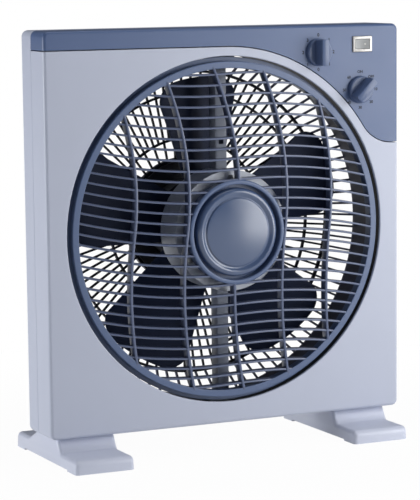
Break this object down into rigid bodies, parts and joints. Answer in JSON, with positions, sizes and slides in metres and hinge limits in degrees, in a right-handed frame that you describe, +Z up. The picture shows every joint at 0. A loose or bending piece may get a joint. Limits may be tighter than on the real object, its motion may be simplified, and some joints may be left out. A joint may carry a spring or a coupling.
{
  "type": "box fan",
  "caption": "Square box fan on two low feet, with a turning domed louver in a round front opening, a bladed fan behind it, and a corner control panel with speed and timer knobs.",
  "frame": {"origin": "on the floor, at the middle of the overall bounding box", "axes": "+Z up, -Y to the front where the louver faces, +X to the right of someone facing it"},
  "size_m": [0.372, 0.164, 0.407],
  "materials": {
    "casing": "satin pale lavender grey",
    "panel": "satin slate blue",
    "louver": "satin slate blue",
    "knob": "satin slate blue",
    "bracket": "matte light grey",
    "blade": "satin navy",
    "grille": "matte near-black blue",
    "foot": "satin pale lavender grey",
    "rocker": "satin off-white",
    "bezel": "bright",
    "steel": "bright",
    "iron": "dull dark grey",
    "copper": "enamelled brown",
    "bronze": "sintered",
    "inner": "matte black",
    "white": "matte white"
  },
  "bodies": {
    "casing": {"front_casing": "casing", "rear_casing": "casing", "control_panel": "panel", "fan_shroud": "grille", "rear_grille": "grille", "grille_rim": "grille", "louver_bracket": "bracket", "drive_cover": "bracket", "drive_cover_screws": "steel", "louver_motor": "iron", "louver_motor_screws": "steel", "motor_front_cover": "iron", "motor_rear_cover": "iron", "motor_bolts": "steel", "motor_screws": "steel", "front_bush": "bronze", "rear_bush": "bronze", "stator_core": "iron", "stator_windings": "copper", "motor_cover": "grille", "motor_cover_screws": "steel", "speed_switch": "inner", "timer": "white", "control_nuts": "steel", "rocker_housing": "bezel", "left_foot": "foot", "right_foot": "foot", "foot_screws": "steel", "capacitor": "white", "terminal_block": "white", "component_screws": "steel", "cord_inlet": "inner", "casing_screws": "steel", "grille_screws": "steel", "bracket_screws": "steel"},
    "rotor": {"fan_blade": "blade", "motor_shaft": "steel", "blade_pin": "steel", "blade_nut": "inner", "rotor_core": "iron"},
    "louver": {"louver_grille": "louver", "louver_cap": "louver", "louver_spindle": "steel", "louver_screw": "steel"},
    "speed_control": {"speed_knob": "knob", "speed_spindle": "steel"},
    "timer_control": {"timer_knob": "knob", "timer_spindle": "steel"},
    "rocker": {"rocker_button": "rocker"}
  },
  "joints": [
    {"name": "fan_spin", "type": "hinge", "parent": "casing", "child": "rotor", "pos_m": [0, 0, 0.214], "axis": [0, 1, 0], "continuous": true},
    {"name": "louver_spin", "type": "hinge", "parent": "casing", "child": "louver", "pos_m": [0, -0.046, 0.214], "axis": [0, 1, 0], "continuous": true},
    {"name": "speed_turn", "type": "hinge", "parent": "casing", "child": "speed_control", "pos_m": [0.09792, -0.046, 0.3809], "axis": [0, 1, 0], "continuous": true},
    {"name": "timer_turn", "type": "hinge", "parent": "casing", "child": "timer_control", "pos_m": [0.1438, -0.046, 0.34348], "axis": [0, 1, 0], "range_deg": [-45, 270]},
    {"name": "rocker_tilt", "type": "hinge", "parent": "casing", "child": "rocker", "pos_m": [0.146, -0.044, 0.3878], "axis": [0, 0, 1], "range_deg": [0, 13.4]}
  ]
}
